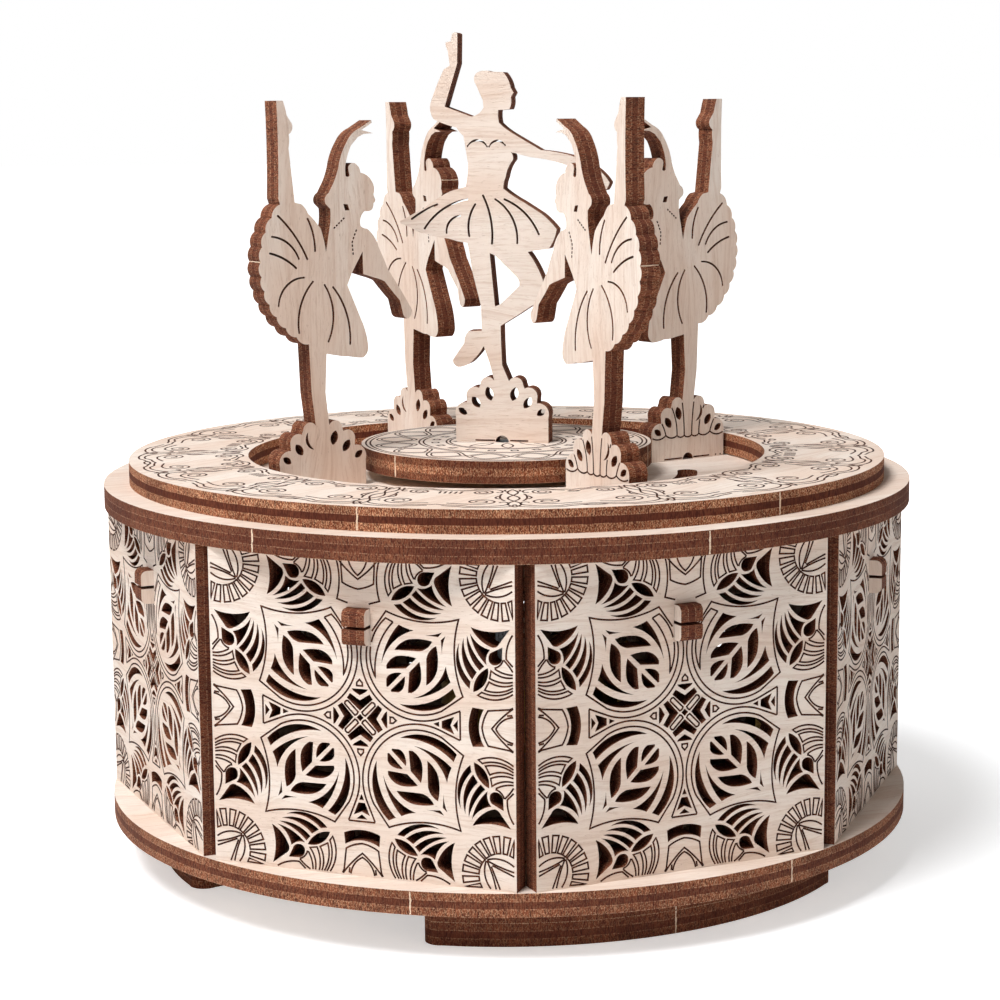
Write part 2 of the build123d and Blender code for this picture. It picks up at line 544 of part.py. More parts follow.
def scallops():
    """The frilled edge of the side dancer's skirt, from the standing leg up to the raised one."""
    points = []
    first, last, count = -78.0, 54.0, 11
    for n in range(count + 1):
        a = first + (last - first) * n / count
        reach = 10.6 + 1.4 * ((a + 12) / 66) ** 2
        points.append((SKIRT_HUB[0] + reach * cos(radians(a)), SKIRT_HUB[1] + reach * sin(radians(a)), 0.42))
    points[-1] = (*points[-1][:2], 0)
    return points


def dancer(line, holes):
    return extrude(Face(outline(line), holes), amount=SHEET / 2, both=True)


def side_dancer():
    right, left = base_fan(SIDE_MIDDLE, SIDE_HALF)
    line = (foot_line_points(SIDE_MIDDLE, SIDE_HALF) + right + [(2.2, 15.0, 0), (2.4, 20.5, 0)]
            + scallops() + SIDE_LEG_AND_LEFT + [(-0.3, 15.0, 0)] + left)
    holes = petal_holes(SIDE_MIDDLE, 1) + [slit(*s) for s in SIDE_SLITS] + [outline(COLLAR_HOLE)]
    return dancer(line, holes)


def lead_dancer():
    right, left = base_fan(LEAD_MIDDLE, LEAD_HALF)
    line = foot_line_points(LEAD_MIDDLE, LEAD_HALF) + right + LEAD_FROM_LEG + left
    holes = petal_holes(LEAD_MIDDLE, 0) + [slit(*s) for s in LEAD_SLITS] + [outline(LEAD_GAP)]
    return dancer(line, holes)


def make_dancers():
    body = side_dancer()
    for number, (turn, (x, y)) in enumerate(dancer_spots(), 1):
        save("side_dancer_%d" % number, upright((x, y, PLATTER_TOP), turn - 90) * body)
    save("centre_dancer", upright((0, 0, TURNTABLE_TOP), CENTRE_TURN - 90) * lead_dancer())


# ---- wind-up movement -----------------------------------------------------------------

def make_movement():
    screws, spacers = [], []
    for at in bed_corners():
        spacers.append(rod(3.0, BASE_TOP, BED_LOW, at, 1.6))
        screws.append(rod(1.4, FOOT_H, BED_TOP, at) + rod(2.7, FOOT_H - 1.8, FOOT_H, at))
    save("movement_spacers", Compound(children=spacers))
    save("movement_screws", Compound(children=screws))
    holes = [circle_line(1.4 + FIT, at) for at in bed_corners()] + [circle_line(SHAFT_R + 1.0)]
    holes.append(circle_line(0.8 + RUNNING, GOVERNOR_AT))
    save("movement_bedplate", sheet(outline(box_line(-15, 40, -20.5, 20.5)), holes, BED_LOW, 2.0))

    barrel = rod(BARREL_R, BED_TOP + 0.6, BED_TOP + 9.2, bore=SHAFT_R + RUNNING)
    barrel += rod(BARREL_R + 1.2, BED_TOP + 0.6, BED_TOP + 1.8, bore=SHAFT_R + RUNNING)
    barrel += rod(BARREL_R, BED_TOP + 9.2, BED_TOP + 10.6)
    save("spring_barrel", barrel)
    save("spring_arbor", rod(SHAFT_R, 3.8, BED_TOP + 9.0))
    grip = outline([(-11, -3.2, 0), (-4, -2.2, -0.3), (4, -2.2, 0), (11, -3.2, 2.0),
                    (11, 3.2, 0), (4, 2.2, -0.3), (-4, 2.2, 0), (-11, 3.2, 2.0)])
    key = sheet(grip, [], 1.3, 2.5) + rod(4.0, 3.8, 6.6, bore=SHAFT_R)
    save("winding_key", key)

    axle = Plane(origin=(CYLINDER_AT, 0, CYLINDER_Z), x_dir=(1, 0, 0), z_dir=(0, 1, 0))
    drum = extrude(Face(circle_line(CYLINDER_R)), amount=9.5, both=True)
    drum += extrude(Face(circle_line(1.0)), amount=13.2, both=True)
    pin = Cylinder(0.25, 1.0)
    pins = []
    for row in range(COMB_TEETH):
        for step in range(3):
            turn = (row * 137 + step * 121) % 360
            along = (row - (COMB_TEETH - 1) / 2) * 1.0
            pins.append(Rot(0, 0, turn) * Pos(CYLINDER_R + 0.1, 0, along) * Rot(0, 90, 0) * pin)
    drum = drum.fuse(*pins)
    save("music_cylinder", axle * drum)
    bracket = extrude(Face(outline(box_line(-5.5, 5.5, -8.0, 4.5)), [circle_line(1.0 + RUNNING)]), amount=1.5)
    for name, y in (("cylinder_bracket_front", -13.0), ("cylinder_bracket_rear", 11.5)):
        wall = Plane(origin=(CYLINDER_AT, y, CYLINDER_Z), x_dir=(-1, 0, 0), z_dir=(0, 1, 0))
        save(name, wall * bracket)

    tip = CYLINDER_AT + CYLINDER_R + 0.75
    root, back, half = tip + 5.5, tip + 12.0, 9.3
    line = [(back, -half), (back, half), (root, half)]
    for n in reversed(range(COMB_TEETH)):
        y = (n - (COMB_TEETH - 1) / 2) * 1.0
        line += [(root, y + 0.36), (tip, y + 0.36), (tip, y - 0.36), (root, y - 0.36)]
    line.append((root, -half))
    comb_screws = [(root + 3.6, y) for y in (-5.5, 5.5)]
    comb = sheet(outline(straight(*line)), [circle_line(1.1, at) for at in comb_screws], CYLINDER_Z, 1.0)
    save("music_comb", comb)
    block = outline(box_line(root + 0.6, back, -half, half))
    save("comb_block", sheet(block, [circle_line(1.0, at) for at in comb_screws], BED_TOP, CYLINDER_Z - BED_TOP))
    heads = [rod(1.0, BED_TOP + 1.0, CYLINDER_Z + 1.0, at) + rod(1.9, CYLINDER_Z + 1.0, CYLINDER_Z + 2.2, at)
             for at in comb_screws]
    save("comb_screws", Compound(children=heads))

    x, y = GOVERNOR_AT
    fly_z = BED_TOP + 6.5
    spindle = rod(0.8, BED_TOP - 1.2, BED_TOP + 10.0, GOVERNOR_AT)
    fly = Pos(x, y, fly_z) * (Box(9.0, 3.4, 0.8) + Pos(0, 0, -2.4) * Cylinder(1.6, 4.0))
    save("governor_fly", spindle + fly)
    post = Pos(x + 6.2, y - 2.5, BED_TOP + 5.25) * Box(2.2, 3.0, 10.5)
    arm = Pos(x + 2.7, y - 1.0, BED_TOP + 9.9) * Box(9.2, 6.0, 1.2)
    save("governor_bracket", post + arm - rod(0.8 + RUNNING, BED_TOP + 9, BED_TOP + 11, GOVERNOR_AT))


make_feet()
make_plates()
make_panels()
make_gears()
make_discs()
make_dancers()
make_movement()
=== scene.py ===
import json
import math
import random

import bpy
from mathutils import Matrix, Vector
from mathutils.bvhtree import BVHTree


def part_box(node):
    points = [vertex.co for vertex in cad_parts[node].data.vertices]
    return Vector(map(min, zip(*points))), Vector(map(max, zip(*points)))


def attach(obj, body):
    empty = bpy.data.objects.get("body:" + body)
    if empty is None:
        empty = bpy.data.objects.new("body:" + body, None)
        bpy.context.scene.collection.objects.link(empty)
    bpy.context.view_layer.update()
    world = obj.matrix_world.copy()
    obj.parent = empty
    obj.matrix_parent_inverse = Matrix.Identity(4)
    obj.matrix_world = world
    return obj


# plywood music box: lattice drum, engraved ring, turning platter and turntable with flat dancers
# everything is in metres; shapes below are drawn in millimetres and scaled by mm
mm = 0.001

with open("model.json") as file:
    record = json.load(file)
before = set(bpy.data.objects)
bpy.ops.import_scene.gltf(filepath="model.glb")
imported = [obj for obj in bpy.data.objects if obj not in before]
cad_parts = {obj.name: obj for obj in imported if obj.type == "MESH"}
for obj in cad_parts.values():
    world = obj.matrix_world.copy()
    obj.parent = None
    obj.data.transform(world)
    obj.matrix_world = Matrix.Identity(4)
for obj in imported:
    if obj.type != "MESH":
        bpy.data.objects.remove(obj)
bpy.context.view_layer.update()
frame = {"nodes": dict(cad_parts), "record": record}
nodes = frame["nodes"]
bodyOf = {name: body for body, names in frame["record"]["behaviour"]["bodies"].items() for name in names}
slotOf = {part["node"]: part["material_slot"] for part in frame["record"]["subparts"]}
print("frame loaded:", len(nodes), "parts")


def levelsOf(name):
    low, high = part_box(name)
    return low.z, high.z


def outerRadius(name):
    low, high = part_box(name)
    return (high.x - low.x) / 2


def sheetFacing(name):
    # side direction and normal of a standing sheet, from how its corners spread on the ground plan
    points = [v.co for v in nodes[name].data.vertices]
    midX = sum(p.x for p in points) / len(points)
    midY = sum(p.y for p in points) / len(points)
    xx = sum((p.x - midX) ** 2 for p in points)
    yy = sum((p.y - midY) ** 2 for p in points)
    xy = sum((p.x - midX) * (p.y - midY) for p in points)
    turn = 0.5 * math.atan2(2 * xy, xx - yy)
    return Vector((math.cos(turn), math.sin(turn), 0)), Vector((math.sin(turn), -math.cos(turn), 0))


def reachAlong(name, direction):
    spread = [v.co.dot(direction) for v in nodes[name].data.vertices]
    return min(spread), max(spread)


cameraSetup = {
    "lens": 86.83, "sensor": 36.0,
    "away": 0.3915, "height": 0.1172,      # metres from the drum's axis, and above the floor
    "swing": -114.62, "rise": 8.489,       # degrees: where it stands, and how far it looks down
    "yaw": -0.1587, "pitch": -0.5327, "roll": -0.4376,
}


def turnedPair(first, second, angle):
    c, s = math.cos(angle), math.sin(angle)
    return c * first + s * second, c * second - s * first


def makeCamera(setup):
    rise, swing = math.radians(setup["rise"]), math.radians(setup["swing"])
    yaw, pitch, roll = (math.radians(setup[k]) for k in ("yaw", "pitch", "roll"))
    out = Vector((math.cos(swing), math.sin(swing), 0))
    ahead = -out * math.cos(rise) - Vector((0, 0, math.sin(rise)))
    right = Vector((-out.y, out.x, 0))
    up = right.cross(ahead)
    ahead, right = turnedPair(ahead, right, yaw)
    ahead, up = turnedPair(ahead, up, pitch)
    right, up = turnedPair(right, up, roll)
    camera = bpy.data.objects.new("camera", bpy.data.cameras.new("camera"))
    camera.data.lens, camera.data.sensor_width = setup["lens"], setup["sensor"]
    camera.data.clip_start, camera.data.clip_end = 0.01, 30
    spot = out * setup["away"] * math.cos(rise) + Vector((0, 0, setup["height"]))
    camera.matrix_world = Matrix.Translation(spot) @ Matrix((right, up, -ahead)).transposed().to_4x4()
    bpy.context.scene.collection.objects.link(camera)
    bpy.context.scene.camera = camera


studio = {
    "sky": 0.2, "skyTint": (1.0, 0.985, 0.965), "backdrop": 1.0,
    "lamps": {   # direction and rise in degrees, distance and size in metres, power in watts
        "keyLamp": {
            "swing": -155, "rise": 57, "away": 0.95, "size": 0.42, "power": 10.5, "tint": (0.96, 0.98, 1.0)},
        "fillLamp": {
            "swing": -70, "rise": 25, "away": 1.3, "size": 0.9, "power": 0.8, "tint": (1.0, 0.99, 0.98)},
        "rimLamp": {
            "swing": 100, "rise": 55, "away": 1.1, "size": 0.6, "power": 1.3, "tint": (0.98, 0.99, 1.0)},
    },
    "aimHeight": 0.055,
    "floorRadius": 6.0, "floorSides": 96, "floorTone": 0.86, "floorGrit": 60,
    "fade": (0.05, 0.34), "glow": 0.46, "bounce": 0.1,     # painted light: the floor's glow near the box, which lifts its cast shadow there, and the share of it that lights other things
}


def makeStudio(setup):
    scene = bpy.context.scene
    scene.view_settings.view_transform = "Standard"
    world = bpy.data.worlds.new("studioSky")
    scene.world = world
    world.use_nodes = True
    tree = world.node_tree
    tree.nodes.clear()
    light, shown = (tree.nodes.new("ShaderNodeBackground") for _ in range(2))
    light.inputs["Color"].default_value = (*setup["skyTint"], 1)
    light.inputs["Strength"].default_value = setup["sky"]
    shown.inputs["Strength"].default_value = setup["backdrop"]
    shown.inputs["Color"].default_value = (1, 1, 1, 1)
    path, mix = tree.nodes.new("ShaderNodeLightPath"), tree.nodes.new("ShaderNodeMixShader")
    output = tree.nodes.new("ShaderNodeOutputWorld")
    tree.links.new(path.outputs["Is Camera Ray"], mix.inputs[0])
    tree.links.new(light.outputs[0], mix.inputs[1])
    tree.links.new(shown.outputs[0], mix.inputs[2])
    tree.links.new(mix.outputs[0], output.inputs["Surface"])
    aim = Vector((0, 0, setup["aimHeight"]))
    for name, lamp in setup["lamps"].items():
        data = bpy.data.lights.new(name, "AREA")
        data.shape, data.size, data.energy, data.color = "DISK", lamp["size"], lamp["power"], lamp["tint"]
        swing, rise = math.radians(lamp["swing"]), math.radians(lamp["rise"])
        away = Vector((math.cos(swing) * math.cos(rise), math.sin(swing) * math.cos(rise), math.sin(rise)))
        holder = bpy.data.objects.new(name, data)
        holder.location = aim + away * lamp["away"]
        holder.rotation_euler = away.to_track_quat("Z", "Y").to_euler()
        scene.collection.objects.link(holder)
    sides = setup["floorSides"]
    rim = [(setup["floorRadius"] * math.cos(2 * math.pi * n / sides),
            setup["floorRadius"] * math.sin(2 * math.pi * n / sides), 0) for n in range(sides)]
    mesh = bpy.data.meshes.new("floor")
    mesh.from_pydata(rim, [], [tuple(range(sides))])
    floor = bpy.data.objects.new("floor", mesh)
    scene.collection.objects.link(floor)
    material, tree, shader = newMaterial("floorPaper")
    grit = noise(tree, scaled(tree, objectPoint(tree), setup["floorGrit"]), 1.0, 4)
    tone = setup["floorTone"]
    paper = mixed(tree, grit, (tone, tone, tone, 1), (tone * 1.02, tone * 1.02, tone * 1.03, 1))
    feed(tree, shader.inputs["Base Color"], paper)
    shader.inputs["Roughness"].default_value = 0.9
    # painted light: the floor glows, enough near the box to lift its cast shadow and fully white further away;
    # the camera sees all of the glow, other rays only a share
    away = tree.nodes.new("ShaderNodeVectorMath")
    away.operation = "LENGTH"
    tree.links.new(objectPoint(tree), away.inputs[0])
    shader.inputs["Emission Color"].default_value = (1, 1, 1, 1)
    glow = eased(tree, away.outputs["Value"], *setup["fade"], setup["glow"], 1.0)
    straight = tree.nodes.new("ShaderNodeLightPath").outputs["Is Camera Ray"]
    seen = eased(tree, straight, 0, 1, setup["bounce"], 1.0)
    feed(tree, shader.inputs["Emission Strength"], calc(tree, "MULTIPLY", glow, seen))
    mesh.materials.append(material)


def tint(red, green, blue):
    # colour as a screen shows it, 0 to 255, turned into the light values that shaders use
    shares = [c / 255 for c in (red, green, blue)]
    return (*(c / 12.92 if c <= 0.04 else ((c + 0.055) / 1.055) ** 2.4 for c in shares), 1)


def newMaterial(name):
    material = bpy.data.materials.new(name)
    material.use_nodes = True
    tree = material.node_tree
    tree.nodes.clear()
    shader = tree.nodes.new("ShaderNodeBsdfPrincipled")
    output = tree.nodes.new("ShaderNodeOutputMaterial")
    tree.links.new(shader.outputs["BSDF"], output.inputs["Surface"])
    return material, tree, shader


def feed(tree, socket, value):
    if isinstance(value, bpy.types.NodeSocket):
        tree.links.new(value, socket)
    else:
        socket.default_value = value


def calc(tree, operation, *values):
    made = tree.nodes.new("ShaderNodeMath")
    made.operation = operation
    for socket, value in zip(made.inputs, values):
        feed(tree, socket, value)
    return made.outputs[0]


def objectPoint(tree):
    return tree.nodes.new("ShaderNodeTexCoord").outputs["Object"]


def scaled(tree, vector, amount):
    made = tree.nodes.new("ShaderNodeVectorMath")
    made.operation = "MULTIPLY"
    feed(tree, made.inputs[0], vector)
    feed(tree, made.inputs[1], amount if isinstance(amount, tuple) else (amount, amount, amount))
    return made.outputs[0]


def along(tree, vector, direction):
    made = tree.nodes.new("ShaderNodeVectorMath")
    made.operation = "DOT_PRODUCT"
    feed(tree, made.inputs[0], vector)
    made.inputs[1].default_value = direction
    return made.outputs["Value"]


def joined(tree, x, y, z):
    made = tree.nodes.new("ShaderNodeCombineXYZ")
    for socket, value in zip(made.inputs, (x, y, z)):
        feed(tree, socket, value)
    return made.outputs[0]


def noise(tree, vector, scale, detail=2.0, rough=0.5):
    made = tree.nodes.new("ShaderNodeTexNoise")
    feed(tree, made.inputs["Vector"], vector)
    made.inputs["Scale"].default_value = scale
    made.inputs["Detail"].default_value = detail
    made.inputs["Roughness"].default_value = rough
    return made.outputs["Fac"]


def eased(tree, value, low, high, start=0.0, end=1.0):
    made = tree.nodes.new("ShaderNodeMapRange")
    made.interpolation_type = "SMOOTHSTEP"
    for socket, number in zip(made.inputs, (value, low, high, start, end)):
        feed(tree, socket, number)
    return made.outputs[0]


def mixed(tree, share, first, second):
    made = tree.nodes.new("ShaderNodeMix")
    made.data_type = "RGBA"
    for socket, value in zip((made.inputs[0], made.inputs[6], made.inputs[7]), (share, first, second)):
        feed(tree, socket, value)
    return made.outputs[2]


def bumped(tree, shader, height, depth):
    made = tree.nodes.new("ShaderNodeBump")
    feed(tree, made.inputs["Height"], height)
    made.inputs["Distance"].default_value = depth
    tree.links.new(made.outputs["Normal"], shader.inputs["Normal"])


plyLook = {
    "pale": tint(240, 225, 212), "warm": tint(232, 209, 192),
    "streak": tint(202, 167, 144), "pore": tint(150, 108, 80),
    "streakShare": 0.36, "hairShare": 0.28, "poreShare": 0.42,
    "edgeDeep": tint(70, 29, 19), "edgeRust": tint(160, 90, 60), "fleck": tint(252, 200, 154),
    "seam": tint(196, 150, 118), "arris": tint(214, 172, 138),
    "fleckShare": 0.85, "cloudShare": 0.4, "seamShare": 0.55, "arrisShare": 0.8,
    "relief": 0.045 * mm,
}
# how much of the light flecks show on the outer plies and on the middle one
edgeShare = {
    "scroll": (1.0, 0.02), "turntable": (0.3, 1.0), "top": (0.22, 0.1), "base": (0.6, 0.12),
    "foot": (0.3, 0.1), "lattice": (0.25, 0.15), "rib": (0.3, 0.1), "side": (0.36, 0.14),
    "centre": (0.4, 0.15), "platter": (0.3, 0.3),
}
grainTurns = {"scroll_ring": 28, "turntable": -30, "platter": 12, "top_plate": 4}      # degrees from x


def faceNormal(tree):
    geometry = tree.nodes.new("ShaderNodeNewGeometry")
    turned = tree.nodes.new("ShaderNodeVectorTransform")
    turned.vector_type, turned.convert_from, turned.convert_to = "NORMAL", "WORLD", "OBJECT"
    tree.links.new(geometry.outputs["True Normal"], turned.inputs[0])
    return turned.outputs[0]


def plyMaterial(name, normal, grain, low, thick, look, seed, shares):
    material, tree, shader = newMaterial(name)
    point = scaled(tree, objectPoint(tree), 1 / mm)
    across = normal.cross(grain)
    u, v, w = (along(tree, point, d) for d in (grain, across, normal))

    def times(*values):
        product = values[0]
        for value in values[1:]:
            product = calc(tree, "MULTIPLY", product, value)
        return product

    def plus(value, factor, extra):
        return calc(tree, "MULTIPLY_ADD", value, factor, extra)

    def less(value, taken):
        return calc(tree, "SUBTRACT", value, taken)

    def gap(value, middle):
        return calc(tree, "ABSOLUTE", less(value, middle))

    # pale face: broad warm patches, long wavy grain, short dark pores
    broad = noise(tree, joined(tree, plus(u, 0.035, seed), times(v, 0.10), w), 1.0, 2)
    sway = plus(broad, 7.0, v)
    lines = noise(tree, joined(tree, plus(u, 0.05, seed), times(sway, 1.5), 0.3), 1.0, 5, 0.62)
    streak = eased(tree, lines, 0.47, 0.68)
    fine = noise(tree, joined(tree, times(u, 0.4), plus(sway, 5.5, seed), 0.7), 1.0, 3, 0.6)
    hair = eased(tree, fine, 0.52, 0.66)
    dots = noise(tree, joined(tree, times(u, 1.1), plus(v, 9.0, seed), 1.9), 1.0, 2)
    pore = eased(tree, dots, 0.66, 0.74)
    face = mixed(tree, eased(tree, broad, 0.35, 0.65), look["pale"], look["warm"])
    face = mixed(tree, times(streak, look["streakShare"]), face, look["streak"])
    face = mixed(tree, times(hair, look["hairShare"]), face, look["streak"])
    face = mixed(tree, times(pore, look["poreShare"]), face, look["pore"])

    # burnt edge: three plies, light flecks in some and the others nearly black, pale dotted glue lines
    level = calc(tree, "DIVIDE", less(w, low / mm), thick / mm)      # 0 to 1 through the sheet
    ragged = noise(tree, scaled(tree, point, 0.5), 1.0, 3)
    depth = plus(less(ragged, 0.5), 0.07, level)
    inner = times(eased(tree, depth, 0.335, 0.365), eased(tree, depth, 0.665, 0.635))
    fibre = noise(tree, joined(tree, times(u, 5.5), times(v, 5.5), plus(w, 1.1, seed)), 1.0, 3, 0.65)
    speck = noise(tree, joined(tree, times(u, 7.5), times(v, 7.5), times(w, 3.6)), 1.0, 2, 0.7)
    cloud = noise(tree, scaled(tree, point, 0.11), 1.0, 2)
    lit = plus(inner, shares[1] - shares[0], shares[0])
    rusty = times(eased(tree, fibre, 0.34, 0.64), eased(tree, lit, -0.6, 1.0))
    edge = mixed(tree, rusty, look["edgeDeep"], look["edgeRust"])
    flecks = times(eased(tree, speck, 0.46, 0.68), times(lit, look["fleckShare"]))
    edge = mixed(tree, flecks, edge, look["fleck"])
    edge = mixed(tree, times(eased(tree, cloud, 0.42, 0.64), look["cloudShare"]), edge, look["edgeDeep"])
    seam = times(eased(tree, gap(gap(depth, 0.5), 0.165), 0.022, 0.006), eased(tree, speck, 0.44, 0.56))
    edge = mixed(tree, times(seam, look["seamShare"]), edge, look["seam"])
    rim = eased(tree, gap(level, 0.5), 0.475, 0.493)
    arris = times(rim, eased(tree, speck, 0.42, 0.6), look["arrisShare"])
    edge = mixed(tree, arris, edge, look["arris"])

    upright = calc(tree, "ABSOLUTE", along(tree, faceNormal(tree), normal))
    isFace = eased(tree, upright, 0.45, 0.75)
    feed(tree, shader.inputs["Base Color"], mixed(tree, isFace, edge, face))
    feed(tree, shader.inputs["Roughness"], plus(less(1.0, isFace), 0.22, plus(streak, 0.10, 0.56)))
    shader.inputs["Specular IOR Level"].default_value = 0.2
    shader.inputs["IOR"].default_value = 1.48
    relief = tree.nodes.new("ShaderNodeMix")
    feed(tree, relief.inputs[0], isFace)
    feed(tree, relief.inputs[2], plus(speck, 1.6, fibre))
    feed(tree, relief.inputs[3], plus(pore, -0.8, times(hair, -0.5)))
    bumped(tree, shader, relief.outputs[0], look["relief"])
    return material


def dress(name, material):
    mesh = nodes[name].data
    mesh.materials.clear()
    mesh.materials.append(material)


def dressSheets():
    up, side = Vector((0, 0, 1)), Vector((1, 0, 0))
    random.seed(11)
    for name in sorted(nodes):
        slot = slotOf[name]
        if not slot.endswith("_ply"):
            continue
        standing = name.startswith(("lattice", "rib")) or "dancer" in name
        if standing:
            run, normal = sheetFacing(name)
            low, high = reachAlong(name, normal)
            grain = run if name.startswith("lattice") or name == "centre_dancer" else up
        else:
            normal = up
            low, high = levelsOf(name)
            turn = math.radians(grainTurns.get(name, random.uniform(-80, 80)))
            grain = side * math.cos(turn) + Vector((0, 1, 0)) * math.sin(turn)
        shares = edgeShare.get(name.split("_")[0], (0.5, 0.15))
        seed = round(random.uniform(0, 60), 2)
        dress(name, plyMaterial("ply_" + name, normal, grain, low, high - low, plyLook, seed, shares))


turnedLook = {"pale": tint(226, 196, 158), "line": tint(182, 140, 98), "end": tint(150, 104, 68)}
metalLooks = {
    "brass": {
        "base": tint(204, 168, 98), "worn": tint(168, 128, 66),
        "low": 0.26, "high": 0.44, "scratch": 0.012 * mm},
    "steel": {
        "base": tint(178, 180, 184), "worn": tint(132, 133, 138),
        "low": 0.22, "high": 0.42, "scratch": 0.010 * mm},
}


def turnedWood(look):
    material, tree, shader = newMaterial("turnedBirch")
    point = scaled(tree, objectPoint(tree), 1 / mm)
    grain = noise(tree, scaled(tree, point, (3.2, 3.2, 0.25)), 1.0, 4, 0.6)
    tone = mixed(tree, eased(tree, grain, 0.42, 0.66), look["pale"], look["line"])
    broad = noise(tree, scaled(tree, point, 0.4), 1.0, 2)
    tone = mixed(tree, eased(tree, broad, 0.55, 0.8, 0.0, 0.5), tone, look["end"])
    feed(tree, shader.inputs["Base Color"], tone)
    feed(tree, shader.inputs["Roughness"], eased(tree, grain, 0.3, 0.7, 0.55, 0.7))
    bumped(tree, shader, grain, 0.03 * mm)
    return material


def metal(name, look):
    material, tree, shader = newMaterial(name)
    point = scaled(tree, objectPoint(tree), 1 / mm)
    brushed = noise(tree, scaled(tree, point, (0.5, 9.0, 9.0)), 1.0, 4, 0.6)
    blotch = noise(tree, scaled(tree, point, 0.35), 1.0, 3)
    tone = mixed(tree, eased(tree, blotch, 0.45, 0.7), look["base"], look["worn"])
    feed(tree, shader.inputs["Base Color"], tone)
    shader.inputs["Metallic"].default_value = 1.0
    feed(tree, shader.inputs["Roughness"], eased(tree, brushed, 0.3, 0.7, look["low"], look["high"]))
    bumped(tree, shader, brushed, look["scratch"])
    return material


def dressHardware():
    wood = turnedWood(turnedLook)
    metals = {slot: metal(slot + "Satin", look) for slot, look in metalLooks.items()}
    for name in nodes:
        slot = slotOf[name]
        if slot == "dowel_wood":
            dress(name, wood)
        elif slot in metals:
            dress(name, metals[slot])


def curve(points, closed=False, step=0.45):
    # points are (x, y, bow), and a bow swells the stretch that follows to its right
    drawn = []
    for (x0, y0, bow), (x1, y1, _) in zip(points, points[1:] + (points[:1] if closed else [])):
        dx, dy = x1 - x0, y1 - y0
        run = math.hypot(dx, dy)
        if abs(bow) < 1e-6:
            drawn.append((x0, y0))
            continue
        half, swell = run / 2, abs(bow)
        radius, sweep = (half * half + swell * swell) / (2 * swell), 2 * math.atan2(swell, half)
        count = max(3, math.ceil(2 * sweep * radius / step))
        for n in range(count):
            a = sweep * (2 * n / count - 1)
            ahead = radius * math.sin(a) + half
            aside = math.copysign(radius * math.cos(a) - radius + swell, bow)
            drawn.append((x0 + (dx * ahead + dy * aside) / run, y0 + (dy * ahead - dx * aside) / run))
    if not closed:
        drawn.append(points[-1][:2])
    return drawn


def arc(x, y, radius, first, last, step=0.45):
    count = max(3, math.ceil(abs(math.radians(last - first)) * radius / step))
    turns = [math.radians(first + (last - first) * n / count) for n in range(count + 1)]
    return [(x + radius * math.cos(a), y + radius * math.sin(a)) for a in turns]


def plain(*points):
    return [(x, y, 0) for x, y in points]


def onWood(strokes, host, place, width):
    # keeps only the stretches that have wood under their whole width
    tree = BVHTree.FromObject(nodes[host], bpy.context.evaluated_depsgraph_get())
    down = (place(0, 0, -1) - place(0, 0, 0)).normalized()

    def solid(x, y):
        return tree.ray_cast(place(x, y, 0.2), down, 0.3 * mm)[0] is not None

    kept = []
    for points, closed in strokes:
        samples, safe = [], []
        for (x0, y0), (x1, y1) in zip(points, points[1:] + (points[:1] if closed else [])):
            run = math.hypot(x1 - x0, y1 - y0) or 1
            sx, sy = (y1 - y0) / run * width / 2, (x0 - x1) / run * width / 2
            count = max(1, math.ceil(run / 0.25))
            for n in range(count + 1):
                x, y = x0 + (x1 - x0) * n / count, y0 + (y1 - y0) * n / count
                samples.append((x, y))
                safe.append(all(solid(x + sx * side, y + sy * side) for side in (-1, 0, 1)))
        if all(safe):
            kept.append((points, closed))
            continue
        stretch = []
        for spot, fine in zip(samples + [None], safe + [False]):
            if fine:
                if not stretch or math.dist(stretch[-1], spot) > 0.02:
                    stretch.append(spot)
                continue
            if len(stretch) > 2:
                kept.append((stretch, False))
            stretch = []
    return kept


def meshOf(name, corners, faces):
    mesh = bpy.data.meshes.new(name)
    mesh.from_pydata([tuple(c) for c in corners], [], faces)
    mesh.validate()
    return mesh


def strokeMesh(name, strokes, width, place, proud=0.018, sunk=0.06):
    # each stroke is a thin closed bar let into the face; place turns (x, y, lift) into a point in metres
    corners, faces = [], []
    for points, closed in strokes:
        first, count = len(corners), len(points)
        for n, (x, y) in enumerate(points):
            back, ahead = points[n - 1], points[(n + 1) % count]
            if not closed and n == 0:
                back = (2 * x - ahead[0], 2 * y - ahead[1])
            if not closed and n == count - 1:
                ahead = (2 * x - back[0], 2 * y - back[1])
            into = Vector((x - back[0], y - back[1])).normalized()
            out = Vector((ahead[0] - x, ahead[1] - y)).normalized()
            middle = (into + out).normalized() if (into + out).length > 1e-6 else into
            stretch = min(1.6, 1 / max(0.5, middle.dot(into))) * width / 2
            sx, sy = middle.y * stretch, -middle.x * stretch
            for side, lift in ((-1, proud), (1, proud), (1, -sunk), (-1, -sunk)):
                corners.append(place(x + sx * side, y + sy * side, lift))
        for n in range(count if closed else count - 1):
            a, b = first + 4 * n, first + 4 * ((n + 1) % count)
            faces += [(a + k, a + (k + 1) % 4, b + (k + 1) % 4, b + k) for k in range(4)]
        if not closed:
            last = first + 4 * (count - 1)
            faces += [(first, first + 3, first + 2, first + 1), (last, last + 1, last + 2, last + 3)]
    return meshOf(name, corners, faces)


def titled(name):
    first, *rest = name.split("_")
    return first + "".join(part.capitalize() for part in rest)


def addPiece(name, mesh, material, body, slot):
    piece = bpy.data.objects.new(name, mesh)
    bpy.context.scene.collection.objects.link(piece)
    mesh.materials.append(material)
    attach(piece, body)


burnLook = {"dark": tint(60, 31, 21), "light": tint(112, 67, 44), "ash": tint(36, 18, 13), "patch": 1.3}


